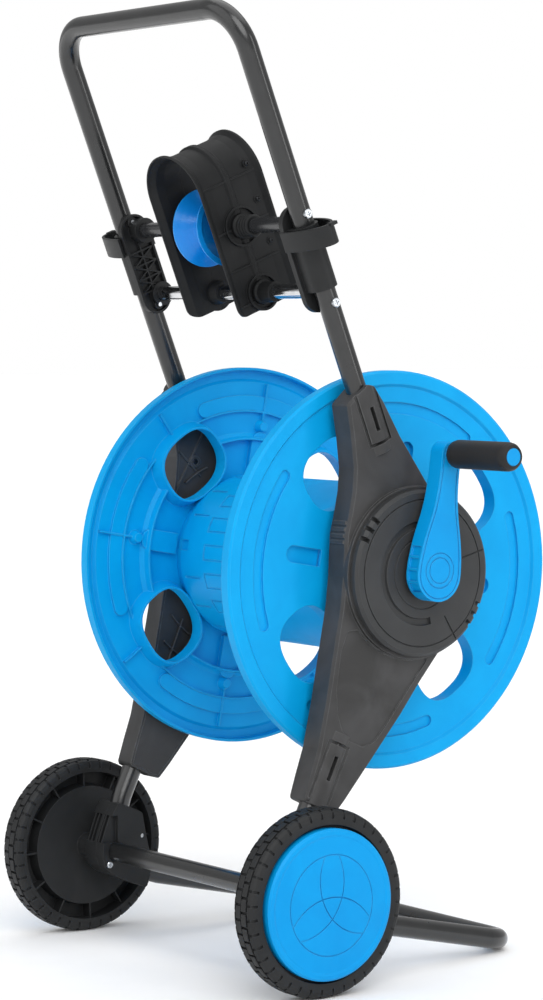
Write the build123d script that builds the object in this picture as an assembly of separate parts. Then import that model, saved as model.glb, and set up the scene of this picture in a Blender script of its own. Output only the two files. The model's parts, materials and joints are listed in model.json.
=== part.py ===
# Garden hose reel cart: a tubular frame on two wheels and a foot, a reel between two side
# panels with a crank, and a sliding hose guide with a roller between the handle legs.
# +Z is up, +X is the crank side, +Y is the side the foot reaches to. Millimetres.
import math
import os

from build123d import *

os.makedirs("parts", exist_ok=True)

# ---------------------------------------------------------------- driving dimensions
TUBE_D = 20.0            # handle and foot tube outside diameter
TUBE_WALL = 1.5          # tube wall
LEG_X = 149.6            # handle legs from the middle plane
HANDLE_LEAN = 21.7       # degrees the handle leans back
HANDLE_Y = 64.1          # handle leg axis at the reference height
HANDLE_Z = 600.0         # reference height on the handle leg
HANDLE_TOP = 327.0       # crossbar axis above the reference point, along the leg
HANDLE_FOOT = -108.0     # lower end of the leg inside the side panel
HANDLE_BEND = 42.0       # bend radius at the top corners
FOOT_X = 151.0           # foot tube legs from the middle plane
FOOT_CORNER_X = 141.0    # foot corners from the middle plane
FOOT_Y = 280.0           # crossbar of the foot in front of the axle
FOOT_LEAN = 25.0         # degrees the lower leg leans
FOOT_REF = (28.0, 170.0)  # a point on the lower leg axis (Y, Z)
FOOT_UP = 66.0           # length of the lower leg above that point
FOOT_BEND = 62.0         # bend radius under the axle
FOOT_CORNER = 32.0       # bend radius of the crossbar corners

WHEEL_R = 87.5           # wheel radius over the tread
WHEEL_IN = 187.4         # inner face of the wheel from the middle plane
WHEEL_W = 28.3           # tyre width
WHEEL_CAP_R = 70.0       # hubcap radius
SHOULDER = 5.6           # width of the outer tread rows
WHEEL_RIM_R = 75.0       # inside of the tyre ring
WHEEL_HUB_R = 13.0       # wheel hub boss radius
TREAD_DEPTH = 2.4        # depth of the tread grooves
TREAD_COUNT = 40         # blocks round the tyre in one row
AXLE_D = 10.0            # axle rod
SLEEVE_D = 19.0          # axle sleeve between the brackets
SLEEVE_END = 140.0       # end of the sleeve from the middle plane

REEL_Y = 142.1           # reel axis in front of the wheel axle
REEL_Z = 381.2           # reel axis height
REEL_TURN = -10.0        # degrees the reel stands turned at rest
FLANGE_R = 190.7         # flange radius
FLANGE_OUT = 127.4       # rim outer face from the middle plane
RIM_DEPTH = 11.6         # width of the turned rim
RIM_W = 13.0             # radial width of the rim channel
WEB_OUT = 124.6          # flange web outer face
WEB_T = 3.0              # flange web thickness
CORE_R = 82.0            # drum core radius
CORE_T = 2.6             # drum core wall
CORE_SPLIT = -112.0      # where the two core halves meet
OUTLET_TURN = -115.0     # degrees from the top round to the water outlet
WINDOW_R = 115.0         # window centre radius
WINDOW_LONG = 31.5       # half length of a window along the radius
WINDOW_WIDE = 36.0       # half width of a window across it
WINDOW_DEEP = 13.0       # depth of the window lip
WINDOW_FLARE = 7.0       # spread of the lip where it meets the web
RECESS = 5.0             # depth of the spoke recess
BEAD_R = 155.0           # radius of the long arc beads
BEAD_W = 11.0            # bead width

PANEL_IN = 135.6         # inner face of the side panels
PANEL_OUT = 162.0        # outer face of the side panels
PANEL_T = 2.6            # panel wall
SOCKET_R = 15.6          # round socket over a tube end
HUB_BASE = 166.0         # outer face of the hub boss under its cover
HUB_R = 82.0             # hub boss radius
HUB_COVER_R = 79.0       # hub cover radius
HUB_FACE = 175.0         # outer face of the hub cover
SHAFT_R = 17.0           # reel shaft radius

CRANK_IN = 182.0         # inner face of the crank arm
CRANK_OUT = 200.0        # outer face of the crank arm
CRANK_BIG_R = 25.4       # big end of the arm
CRANK_TIP_R = 11.2       # narrow end of the arm
CRANK_DY = 14.6          # grip axis in front of the reel axis
CRANK_DZ = 113.2         # grip axis above the reel axis
GRIP_D = 27.2            # crank grip diameter
GRIP_IN = 204.0          # inner end of the grip
GRIP_OUT = 290.0         # outer end of the grip
PIN_D = 8.0              # crank pin

ROD_N = 7.0              # guide rods in front of the leg axis
ROD_HIGH = 114.5         # upper guide rod along the leg
ROD_LOW = 47.5           # lower guide rod along the leg
ROD_HIGH_D = 14.6        # upper guide rod diameter
ROD_LOW_D = 14.0         # lower guide rod diameter
ROD_END = 136.0          # rod ends from the middle plane
PLATE_IN = 133.0         # inner face of the handle bracket plate
PLATE_OUT = 139.0        # outer face of the handle bracket plate
PLATE_HALF = 16.5        # half width of the bracket plate
PLATE_LOW = 30.0         # lower end of the bracket plate along the leg
PLATE_HIGH = 133.5       # upper end of the bracket plate along the leg
SLEEVE_R = 13.0          # round sleeve of the handle bracket
SLEEVE_LOW = 53.0        # lower end of that sleeve
LOOP_LOW = 95.5          # lower edge of the hose loop
LOOP_HIGH = 115.0        # upper edge of the hose loop
LOOP_OUT = 187.5         # outer tip of the hose loop
SCREW_HIGH = 126.0       # upper bracket screw along the leg
SCREW_LOW = 38.5         # lower bracket screw along the leg

GUIDE_W = 39.0           # guide shell outside half width
GUIDE_T = 2.6            # guide shell wall
GUIDE_N = 9.0            # guide centre in front of the leg axis
GUIDE_HALF = 38.0        # guide half depth
GUIDE_LOW = 32.0         # guide lower edge along the leg
GUIDE_TOP = 195.0        # guide top along the leg
GUIDE_FLARE = 4.5        # outward flare of the guide mouths
BUSH_OUT = 62.0          # outer end of the guide bushes
ROLLER_RIM_R = 38.0      # roller rim radius
ROLLER_WAIST_R = 15.0    # roller waist radius
ROLLER_HALF = 20.5       # roller half length

FIT = 0.1                # close fit between parts fixed together
RUN_FIT = 0.05           # radial running fit
LOOSE = 0.6              # open clearance round a moving part

RIM_SEAT = WEB_OUT - WEB_T
WHEEL_OUT = WHEEL_IN + WHEEL_W
CAP_FACE = WHEEL_OUT + 7.4
CENTRE_X = (GRIP_OUT - CAP_FACE) / 2.0
CENTRE_Y = (REEL_Y + FLANGE_R - WHEEL_R) / 2.0


# ---------------------------------------------------------------- helpers
def rod(r, x0, x1, y=0.0, z=0.0):
    """Cylinder lying along X."""
    return Pos((x0 + x1) / 2, y, z) * Rot(0, 90, 0) * Cylinder(r, abs(x1 - x0))


def ring(r_out, r_in, x0, x1, y=0.0, z=0.0):
    """Tube lying along X."""
    return rod(r_out, x0, x1, y, z) - rod(r_in, min(x0, x1) - 1, max(x0, x1) + 1, y, z)


def block(x0, x1, y0, y1, z0, z1):
    """Box between two corners."""
    return Pos((x0 + x1) / 2, (y0 + y1) / 2, (z0 + z1) / 2) * Box(x1 - x0, y1 - y0, z1 - z0)


def flat(points):
    """Closed outline drawn on the YZ plane."""
    return make_face(Polyline(*points, close=True))


def slab(sketch, x0, x1):
    """A sketch in (Y, Z) made solid between two X planes."""
    return extrude(Plane.YZ.offset(x0) * sketch, amount=x1 - x0)


def turned(profile):
    """Solid turned about the X axis from a profile of (x, radius) points."""
    ends = profile[1:] + profile[:1]
    area = sum(a[0] * b[1] - b[0] * a[1] for a, b in zip(profile, ends))
    if area > 0:
        profile = list(reversed(profile))
    face = make_face(Polyline(*[(x, 0, r) for x, r in profile], close=True))
    return revolve(face, Axis.X, 360)


def mirrored(shape):
    """The same part on the other side of the middle plane."""
    return mirror(shape, about=Plane.YZ)


def joined(first, others):
    """One solid from a body and the features that grow on it."""
    whole = first
    for other in others:
        whole = whole + other
    return whole


def pipe(points, bends, r_out, r_in):
    """Bent tube along a path of corner points, one bend radius for each inner corner."""
    at = [Vector(*p) for p in points]
    edges = []
    start = at[0]
    for i, radius in enumerate(bends):
        into = (at[i + 1] - at[i]).normalized()
        out = (at[i + 2] - at[i + 1]).normalized()
        half = math.radians(into.get_angle(out)) / 2
        reach = radius * math.tan(half)
        first = at[i + 1] - into * reach
        last = at[i + 1] + out * reach
        inward = (out - into).normalized()
        middle = at[i + 1] + inward * (radius / math.cos(half) - radius)
        edges.append(Edge.make_line(start, first))
        edges.append(Edge.make_three_point_arc(first, middle, last))
        start = last
    edges.append(Edge.make_line(start, at[-1]))
    path = Wire(edges)
    plane = Plane(origin=at[0], z_dir=(at[1] - at[0]).normalized())
    body = sweep(plane * Circle(r_out), path=path)
    if r_in > 0:
        body = body - sweep(plane * Circle(r_in), path=path)
    return body


HANDLE = Pos(0, HANDLE_Y, HANDLE_Z) * Rot(HANDLE_LEAN, 0, 0)
LOWER = Pos(0, FOOT_REF[0], FOOT_REF[1]) * Rot(-FOOT_LEAN, 0, 0)
REEL = Pos(0, REEL_Y, REEL_Z) * Rot(REEL_TURN, 0, 0)
AXLE = Pos(0, 0, WHEEL_R)
HOME = Pos(-CENTRE_X, -CENTRE_Y, 0)


def on_handle(x, n, s):
    """World position of a point given across, in front of and along the handle leg."""
    lean = math.radians(HANDLE_LEAN)
    y = HANDLE_Y + n * math.cos(lean) - s * math.sin(lean)
    z = HANDLE_Z + n * math.sin(lean) + s * math.cos(lean)
    return (x, y, z)


def on_lower(x, n, s):
    """World position of a point given relative to the lower leg."""
    lean = math.radians(FOOT_LEAN)
    y = FOOT_REF[0] + n * math.cos(lean) + s * math.sin(lean)
    z = FOOT_REF[1] - n * math.sin(lean) + s * math.cos(lean)
    return (x, y, z)


def save(shape, name):
    """Writes one node, moved so the cart stands centred on the origin."""
    placed = [HOME * solid for solid in shape.solids()]
    whole = placed[0] if len(placed) == 1 else Compound(placed)
    whole.label = name
    export_step(whole, "parts/" + name + ".step")
    count = len(placed)
    print(name, count, "solid" if count == 1 else "solids", round(whole.volume / 1000, 1), "cm3")


# ---------------------------------------------------------------- tubes
handle_points = [on_handle(LEG_X, 0, HANDLE_FOOT), on_handle(LEG_X, 0, HANDLE_TOP),
                 on_handle(-LEG_X, 0, HANDLE_TOP), on_handle(-LEG_X, 0, HANDLE_FOOT)]
TUBE_R = TUBE_D / 2
handle_tube = pipe(handle_points, [HANDLE_BEND, HANDLE_BEND], TUBE_R, TUBE_R - TUBE_WALL)
screw_hole = 2.2
for side in (1, -1):
    for s in (SCREW_HIGH, SCREW_LOW):
        handle_tube = handle_tube - HANDLE * rod(screw_hole, side * 130, side * 170, 0, s)
save(handle_tube, "handle_tube")

lean = math.radians(FOOT_LEAN)
foot_y, foot_z = FOOT_REF
slope_y = math.tan(lean)
foot_drop = 0.2166
knee_y = (foot_y + (TUBE_R + foot_drop * FOOT_Y - foot_z) * slope_y) / (1 + foot_drop * slope_y)
knee_z = TUBE_R + foot_drop * (FOOT_Y - knee_y)
foot_points = [on_lower(FOOT_X, 0, FOOT_UP), (FOOT_X, knee_y, knee_z),
               (FOOT_CORNER_X, FOOT_Y, TUBE_R), (-FOOT_CORNER_X, FOOT_Y, TUBE_R),
               (-FOOT_X, knee_y, knee_z), on_lower(-FOOT_X, 0, FOOT_UP)]
foot_bends = [FOOT_BEND, FOOT_CORNER, FOOT_CORNER, FOOT_BEND]
foot_tube = pipe(foot_points, foot_bends, TUBE_R, TUBE_R - TUBE_WALL)
foot_core = pipe(foot_points, foot_bends, TUBE_R + FIT, 0)
clamp_screw_at = (31.0, 101.0)
for side in (1, -1):
    foot_tube = foot_tube - rod(screw_hole, side * 120, side * 180, *clamp_screw_at)
save(foot_tube, "foot_tube")

AXLE_R = AXLE_D / 2
axle_rod = AXLE * rod(AXLE_R, -WHEEL_OUT + 1.5, WHEEL_OUT - 1.5)
save(axle_rod, "axle_rod")
axle_sleeve = AXLE * ring(SLEEVE_D / 2, SLEEVE_D / 2 - 1.6, -SLEEVE_END, SLEEVE_END)
save(axle_sleeve, "axle_sleeve")

# ---------------------------------------------------------------- axle brackets
CLAMP_IN = 137.5
CLAMP_MID = FOOT_X
CLAMP_OUT = 171.0
clamp_outline = [(2.5, 137.0), (-3.5, 128.0), (-10.0, 112.0), (-15.0, 98.0), (-16.5, 84.0),
                 (-13.0, 72.5), (-6.0, 66.0), (8.0, 58.5), (36.0, 48.0), (44.0, 72.0),
                 (38.0, 90.0), (34.0, 108.0), (31.0, 124.0), (25.5, 127.5)]
clamp_face = flat(clamp_outline)
clamp_face = fillet(clamp_face.vertices(), 2.5)


def axle_clamp(x0, x1):
    """Half of the moulded bracket that holds the axle in front of the tube bend."""
    half = slab(clamp_face, x0, x1) - foot_core
    half = half - AXLE * rod(AXLE_R + FIT, x0 - 5, x1 + 5)
    half = half - rod(2.2, x0 - 5, x1 + 5, *clamp_screw_at)
    half = half - rod(1.6, x0 - 5, x1 + 5, -9.0, 75.5)
    return half


clamp_inner = axle_clamp(CLAMP_IN, CLAMP_MID)
clamp_inner = clamp_inner - AXLE * rod(SLEEVE_D / 2 + FIT, CLAMP_IN - 1, SLEEVE_END + FIT)
clamp_outer = axle_clamp(CLAMP_MID + FIT, CLAMP_OUT)
for i in range(3):
    x = CLAMP_MID - 11.5 + 6.2 * i
    clamp_inner = clamp_inner - block(x - 2.3, x + 2.3, -40, 1.5, 97, 124)
    clamp_outer = clamp_outer - block(x + 16.3, x + 20.9, -40, 0.5, 97, 124)
collar = AXLE * ring(9.0, AXLE_R + FIT, CLAMP_OUT - 0.5, CLAMP_OUT + 4.0)
clamp_outer = clamp_outer + collar
for name, shape in (("axle_clamp_inner", clamp_inner), ("axle_clamp_outer", clamp_outer)):
    save(shape, name + "_right")
    save(mirrored(shape), name + "_left")


def screw(x_head, x_tip, r_head, r_body, y, z, head_t=2.6):
    """Pan head screw along X with its head at x_head and a cross recess in the head."""
    way = 1 if x_head > x_tip else -1
    head = rod(r_head, x_head, x_head - way * head_t, y, z)
    head = chamfer(head.edges().filter_by(GeomType.CIRCLE).sort_by(Axis.X)[-1 if way > 0 else 0],
                   0.8)
    body = rod(r_body, x_head - way * head_t, x_tip, y, z)
    deep = x_head - way * 1.3
    a, b = sorted((x_head + way, deep))
    slot = block(a, b, y - r_head * 0.55, y + r_head * 0.55, z - 0.45, z + 0.45)
    cross = block(a, b, y - 0.45, y + 0.45, z - r_head * 0.55, z + r_head * 0.55)
    return (head + body) - slot - cross


clamp_screws = []
for side in (1, -1):
    clamp_screws.append(screw(side * (CLAMP_OUT + 2.6), side * 138.5, 4.2, 2.1, *clamp_screw_at))
    clamp_screws.append(screw(side * (CLAMP_IN - 2.6), side * 169, 3.4, 1.5, -9.0, 75.5))
save(Compound(clamp_screws), "clamp_screws")

# ---------------------------------------------------------------- side panels
hub_circle = Pos(REEL_Y, REEL_Z) * Circle(HUB_R)
panel_points = [(64.0, 541.0), (69.0, 512.0), (72.5, 482.0), (71.0, 460.0), (67.0, 440.0),
                (62.0, 420.0), (60.0, 380.0), (57.0, 352.0), (47.0, 300.0), (40.0, 262.0),
                (31.0, 222.0), (22.0, 196.0), (15.0, 174.0), (49.0, 157.5), (62.0, 171.0),
                (90.0, 203.0), (128.0, 247.0), (149.0, 274.0), (178.0, 308.0), (165.0, 340.0),
                (165.0, 420.0), (160.0, 464.0), (127.0, 510.0), (107.0, 543.0), (96.0, 558.0),
                (84.0, 559.5)]
panel_flat = flat(panel_points)
panel_flat = fillet(panel_flat.vertices(), 4.0)
panel_outline = panel_flat + hub_circle
panel_cavity = offset(panel_outline, amount=-PANEL_T, kind=Kind.INTERSECTION)
cover_outline = offset(panel_outline, amount=-PANEL_T - 0.2, kind=Kind.INTERSECTION)

shell = slab(panel_outline, PANEL_IN, PANEL_OUT - 3)
shell = shell + extrude(Plane.YZ.offset(PANEL_OUT - 3) * panel_flat, amount=3, taper=35)
shell = shell + slab(hub_circle, PANEL_OUT - 3, HUB_BASE)
shell = shell - slab(panel_cavity, PANEL_IN - 1, PANEL_OUT - PANEL_T)

SOCKET_TOP = -40.0
SOCKET_DEEP = -112.0
upper_socket = HANDLE * (Pos(LEG_X, 0, (SOCKET_TOP + SOCKET_DEEP) / 2)
                         * Cylinder(SOCKET_R, SOCKET_TOP - SOCKET_DEEP))
lower_socket = LOWER * (Pos(FOOT_X, 0, 32) * Cylinder(SOCKET_R - 1.2, 76))
within = slab(panel_outline, PANEL_IN + 2.7, HUB_BASE + 2)
shell = shell + (upper_socket & within) + (lower_socket & within)
handle_bore = HANDLE * (Pos(LEG_X, 0, 0) * Cylinder(TUBE_R + FIT, 2 * (-HANDLE_FOOT + 1)))
foot_bore = LOWER * (Pos(FOOT_X, 0, 0) * Cylinder(TUBE_R + FIT, 2 * (FOOT_UP + 1)))
shell = shell - handle_bore - foot_bore

# slotted tongues over the tube ends, each with a long hole
tongue_top = Pos(0, 0, -74) * Box(100, 27, 58) - Pos(0, 0, -72) * Box(100, 20.5, 56)
tongue_low = Pos(0, 0, 32) * Box(100, 26, 58) - Pos(0, 0, 30) * Box(100, 19.5, 56)
slot_top = Pos(0, 0, -78) * Box(100, 4.5, 24)
slot_low = Pos(0, 0, 36) * Box(100, 4.5, 24)
outer_only = block(LEG_X + 4, HUB_BASE + 3, -100, 400, 0, 700)
shell = shell - ((HANDLE * (Pos(LEG_X + 60, 0, 0) * (tongue_top + slot_top))) & outer_only)
shell = shell - ((LOWER * (Pos(FOOT_X + 60, 0, 0) * (tongue_low + slot_low))) & outer_only)

# long field sunk into the lower face
field = [(64.0, 330.0), (56.0, 312.0), (50.5, 276.0), (52.0, 252.0), (57.0, 237.0), (66.0, 226.0),
         (81.0, 219.5), (95.0, 223.5), (106.0, 235.0), (126.0, 259.0), (142.0, 278.5),
         (158.0, 297.0), (140.0, 330.0)]
field_face = fillet(flat(field).vertices(), 4.0) - Pos(REEL_Y, REEL_Z) * Circle(HUB_R + 1.5)
shell = shell - slab(field_face, PANEL_OUT - 1.6, PANEL_OUT + 1)
shell = shell - REEL * rod(SHAFT_R + LOOSE, PANEL_IN - 5, HUB_BASE + 5)
shell = shell - REEL * ring(70.0, 24.0, PANEL_OUT - PANEL_T - 1, HUB_BASE - PANEL_T)
hub_bosses = [(REEL_Y + 60, REEL_Z), (REEL_Y - 54, REEL_Z + 37)]
end_bosses = [(94.0, 477.0), (90.0, 232.0)]
panel_bosses = hub_bosses + end_bosses
for y, z in hub_bosses:
    shell = shell + ring(4.5, 1.3, PANEL_IN + 2.8, HUB_BASE - PANEL_T + 0.5, y, z)
for y, z in end_bosses:
    shell = shell + ring(4.5, 1.3, PANEL_IN + 2.8, PANEL_OUT - PANEL_T + 0.5, y, z)
grown = slab(offset(panel_outline, amount=1.2), PANEL_IN + 3, PANEL_OUT - 4)
grown = grown - slab(offset(panel_outline, amount=-1.2), PANEL_IN, PANEL_OUT)
for i in range(4):
    z = 411 + 6.0 * i
    shell = shell + (grown & block(PANEL_IN, PANEL_OUT, 40, 78, z, z + 3.4))

cover = slab(cover_outline, PANEL_IN, PANEL_IN + 2.6)
cover = cover - handle_bore - foot_bore
cover = cover - REEL * rod(SHAFT_R + LOOSE, PANEL_IN - 5, HUB_BASE + 5)
cover = cover - [rod(2.0, PANEL_IN - 5, PANEL_IN + 5, y, z) for y, z in panel_bosses]
for r in (34.0, 54.0):
    cover = cover + REEL * ring(r + 0.8, r - 0.8, PANEL_IN - 1.6, PANEL_IN + 0.5)
for turn in range(0, 360, 60):
    spoke = Rot(turn, 0, 0) * block(PANEL_IN - 1.6, PANEL_IN + 0.5, -0.8, 0.8, 22, 54)
    cover = cover + REEL * spoke
lower_ribs = [(34, 232, 92, 300), (40, 262, 60, 230), (66, 440, 112, 520), (70, 492, 100, 462)]
for y0, z0, y1, z1 in lower_ribs:
    length = math.hypot(y1 - y0, z1 - z0)
    turn = math.degrees(math.atan2(z1 - z0, y1 - y0))
    rib = Pos(PANEL_IN - 0.55, (y0 + y1) / 2, (z0 + z1) / 2) * Rot(turn, 0, 0) * Box(2.1, length, 1.6)
    cover = cover + (rib & slab(cover_outline, PANEL_IN - 5, PANEL_IN + 5))
for name, shape in (("side_panel", shell), ("panel_cover", cover)):
    save(shape, name + "_right")
    save(mirrored(shape), name + "_left")

panel_screws = []
for side in (1, -1):
    for y, z in panel_bosses:
        tip = side * (PANEL_IN + 14)
        panel_screws.append(screw(side * (PANEL_IN - 2.2), tip, 3.4, 1.2, y, z, 2.0))
save(Compound(panel_screws), "panel_screws")

# ---------------------------------------------------------------- hub covers
disc = turned([(HUB_BASE + FIT, SHAFT_R + RUN_FIT), (HUB_FACE, SHAFT_R + RUN_FIT),
               (HUB_FACE, HUB_COVER_R - 3), (HUB_FACE - 2.5, HUB_COVER_R),
               (HUB_BASE + FIT, HUB_COVER_R)])
groove = turned([(HUB_FACE - 3.0, 43.6), (HUB_FACE + 1, 42.4), (HUB_FACE + 1, 50.0),
                 (HUB_FACE - 3.0, 49.2)])
keep = [block(HUB_FACE - 5, HUB_FACE + 5, 0, 60, 0, 60)]
keep.append(Rot(-55, 0, 0) * block(HUB_FACE - 5, HUB_FACE + 5, 0, 60, 0, 60))
keep.append(Rot(-78, 0, 0) * block(HUB_FACE - 5, HUB_FACE + 5, 0, 60, 0, 60))
for piece in keep:
    groove = groove - piece
disc = disc - groove
disc = disc - turned([(HUB_FACE - 1.4, 69.0), (HUB_FACE + 1, 68.5), (HUB_FACE + 1, 70.5),
                      (HUB_FACE - 1.4, 70.0)])
disc = disc - turned([(HUB_FACE - 0.9, 33.0), (HUB_FACE + 1, 33.0), (HUB_FACE + 1, 34.4),
                      (HUB_FACE - 0.9, 34.4)])
for turn in (15, -58):
    disc = disc - Rot(turn, 0, 0) * block(HUB_FACE - 1.6, HUB_FACE + 1, 49, 90, -0.9, 0.9)
for turn in (137, 145, 153, -26, -34, -42):
    disc = disc - Rot(turn, 0, 0) * block(HUB_FACE - 6, HUB_FACE + 1, 71, 90, -2.2, 2.2)
AT_REEL = Pos(0, REEL_Y, REEL_Z)
save(AT_REEL * disc, "hub_cover_right")
screw_holes = rod(1.6, HUB_BASE - 1, HUB_FACE + 1, 60, 0) + rod(1.6, HUB_BASE - 1, HUB_FACE + 1, -60, 0)
save(AT_REEL * mirrored(disc - screw_holes), "hub_cover_left")

# ---------------------------------------------------------------- reel flanges
flange = turned([(RIM_SEAT, SHAFT_R + 8), (WEB_OUT, SHAFT_R + 8),
                 (WEB_OUT, FLANGE_R - RIM_W - 2.5), (FLANGE_OUT, FLANGE_R - RIM_W),
                 (FLANGE_OUT, FLANGE_R - 2), (FLANGE_OUT - 2, FLANGE_R),
                 (FLANGE_OUT - RIM_DEPTH, FLANGE_R), (FLANGE_OUT - RIM_DEPTH, FLANGE_R - 2.6),
                 (FLANGE_OUT - 3, FLANGE_R - 3.4), (FLANGE_OUT - 3, FLANGE_R - RIM_W + 1.6),
                 (RIM_SEAT, FLANGE_R - RIM_W - 1.4)])
STEPS = 10


def arc_pad(r_mid, width, half_angle, x0, x1):
    """Long pad with round ends following the rim, centred on +Y."""
    points = []
    for i in range(STEPS + 1):
        a = math.radians(-half_angle + 2 * half_angle * i / STEPS)
        points.append(((r_mid + width / 2) * math.cos(a), (r_mid + width / 2) * math.sin(a)))
    for i in range(STEPS + 1):
        a = math.radians(half_angle - 2 * half_angle * i / STEPS)
        points.append(((r_mid - width / 2) * math.cos(a), (r_mid - width / 2) * math.sin(a)))
    pad = slab(flat(points), x0, x1)
    for end in (half_angle, -half_angle):
        a = math.radians(end)
        pad = pad + rod(width / 2, x0, x1, r_mid * math.cos(a), r_mid * math.sin(a))
    return pad


def window_outline(grow):
    """Rounded window half way between two spokes, grown outwards all round."""
    points = []
    for i in range(32):
        turn = 2 * math.pi * i / 32
        along = math.copysign(abs(math.cos(turn)) ** 0.8, math.cos(turn))
        across = math.copysign(abs(math.sin(turn)) ** 0.8, math.sin(turn))
        points.append((WINDOW_R + along * (WINDOW_LONG + grow), across * (WINDOW_WIDE + grow)))
    return make_face(Spline(*points, periodic=True))


bead_cut = arc_pad(BEAD_R, BEAD_W, 27.0, WEB_OUT - 2.6, WEB_OUT + 1)
bead_pad = arc_pad(BEAD_R, BEAD_W + 4, 27.5, RIM_SEAT - 2.8, RIM_SEAT + 0.5)
recess = block(WEB_OUT - RECESS, WEB_OUT + 1, 84, 116, -8, 8)
recess = recess + rod(8, WEB_OUT - RECESS, WEB_OUT + 1, 116, 0)
recess_pad = block(RIM_SEAT - RECESS, RIM_SEAT + 0.5, 84, 116, -10.4, 10.4)
recess_pad = recess_pad + rod(10.4, RIM_SEAT - RECESS, RIM_SEAT + 0.5, 116, 0)
lip_edge = Plane.YZ.offset(RIM_SEAT - WINDOW_DEEP) * window_outline(2.0)
lip_root = Plane.YZ.offset(RIM_SEAT + 0.5) * window_outline(WINDOW_FLARE)
window_out = loft([lip_edge, lip_root], ruled=True)
window_cut = slab(window_outline(0.0), RIM_SEAT - WINDOW_DEEP - 1, WEB_OUT + 1)
wall = turned([(RIM_SEAT + 0.5, 116.5), (RIM_SEAT - 9, 117.5), (RIM_SEAT - 9, 119.1),
               (RIM_SEAT - 3, 121.0), (RIM_SEAT + 0.5, 125.0)])
flange = flange + wall
flange = flange + ring(147.3, 145.7, RIM_SEAT - 4.0, RIM_SEAT + 0.5)
stud = turned([(RIM_SEAT + 0.5, 0), (RIM_SEAT - 7.5, 0), (RIM_SEAT - 7.5, 4.5), (RIM_SEAT + 0.5, 7.5)])
stud = Pos(0, 132, 0) * stud
for quarter in range(4):
    turn = 90.0 * quarter
    flange = flange + Rot(turn, 0, 0) * bead_pad + Rot(turn, 0, 0) * recess_pad
    rib = block(RIM_SEAT - 4.0, RIM_SEAT + 0.5, 86, 176, -0.8, 0.8)
    flange = flange + Rot(turn, 0, 0) * rib + Rot(turn, 0, 0) * stud
    outer_rib = block(RIM_SEAT - 4.0, RIM_SEAT + 0.5, 143, 176, -0.8, 0.8)
    flange = flange + Rot(turn + 45, 0, 0) * outer_rib
    flange = flange + Rot(turn + 45, 0, 0) * window_out
for quarter in range(4):
    turn = 90.0 * quarter
    flange = flange - Rot(turn, 0, 0) * bead_cut - Rot(turn, 0, 0) * recess
    flange = flange - Rot(turn + 45, 0, 0) * window_cut
core_room = rod(CORE_R + 0.3, RIM_SEAT - WINDOW_DEEP - 2, RIM_SEAT - FIT)
flange = flange - core_room
for quarter in range(4):
    a = math.radians(90 * quarter + 45)
    flange = flange - rod(2.4, RIM_SEAT - 2, WEB_OUT + 2, 60 * math.cos(a), 60 * math.sin(a))
save(REEL * flange, "reel_flange_right")
save(REEL * mirrored(flange), "reel_flange_left")

# ---------------------------------------------------------------- drum core
CORE_END = RIM_SEAT - FIT
right_core = ring(CORE_R, CORE_R - CORE_T, CORE_SPLIT + FIT, CORE_END)
right_core = right_core + ring(CORE_R - CORE_T + 0.5, SHAFT_R + 12, CORE_END - 3, CORE_END)
SLEEVE_FIT_R = CORE_R - CORE_T - FIT
left_core = ring(SLEEVE_FIT_R, SLEEVE_FIT_R - CORE_T, -CORE_END, CORE_SPLIT + 14)
left_core = left_core + ring(SLEEVE_FIT_R - CORE_T + 0.5, SHAFT_R + 12, -CORE_END, -CORE_END + 3)
SEAM = CORE_SPLIT + FIT
for i in range(16):
    if i % 4 == 0:
        notch = block(SEAM - 1, SEAM + 12, 70, 90, -5, 5)
    else:
        notch = block(SEAM + 7, SEAM + 32, 81, 90, -0.9, 0.9)
    right_core = right_core - Rot(22.5 * i, 0, 0) * notch
for i in range(18):
    turn = 20.0 * i + 4.0
    mark = block(-72, -20, CORE_R - 1.1, CORE_R + 2, -8, 8) - block(-70.4, -16, 75, 90, -6.4, 6.4)
    right_core = right_core - Rot(turn, 0, 0) * mark
for end in (1, -1):
    for quarter in range(4):
        a = math.radians(90 * quarter + 45)
        post = rod(5.0, end * (CORE_END - 15), end * (CORE_END - 2.5), 60 * math.cos(a),
                   60 * math.sin(a))
        hole = rod(1.3, end * (CORE_END - 14), end * (CORE_END + 1), 60 * math.cos(a),
                   60 * math.sin(a))
        if end > 0:
            right_core = right_core + post - hole
        else:
            left_core = left_core + post - hole
outlet_hole = Pos(-40, 0, CORE_R - 5) * Cylinder(11.0, 30)
right_core = right_core - Rot(OUTLET_TURN, 0, 0) * outlet_hole
save(REEL * right_core, "drum_core_right")
save(REEL * left_core, "drum_core_left")

reel_screws = []
for end in (1, -1):
    for quarter in range(4):
        a = math.radians(90 * quarter + 45)
        reel_screws.append(screw(end * (WEB_OUT + 2.2), end * (CORE_END - 12), 4.2, 1.2,
                                 60 * math.cos(a), 60 * math.sin(a), 2.0))
save(REEL * Compound(reel_screws), "reel_screws")

# ---------------------------------------------------------------- reel shafts and water way
SHAFT_BORE = 8.0
right_shaft = turned([(CORE_END - 22, 0), (CRANK_IN - 0.3, 0), (CRANK_IN - 0.3, SHAFT_R),
                      (WEB_OUT + 1.0, SHAFT_R), (WEB_OUT + 1.0, SHAFT_R + 14),
                      (WEB_OUT + 0.1, SHAFT_R + 14), (WEB_OUT + 0.1, SHAFT_R + 7.9),
                      (CORE_END - 22, SHAFT_R + 7.9)])
angle = math.atan2(CRANK_DY, CRANK_DZ)
drive = block(CRANK_IN - 1, CRANK_IN + 9, -7, 7, -7, 7)
drive = Rot(-math.degrees(angle) - REEL_TURN, 0, 0) * drive
right_shaft = right_shaft + drive - rod(2.0, CRANK_IN - 16, CRANK_IN + 10)
save(REEL * right_shaft, "reel_shaft_right")

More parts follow.
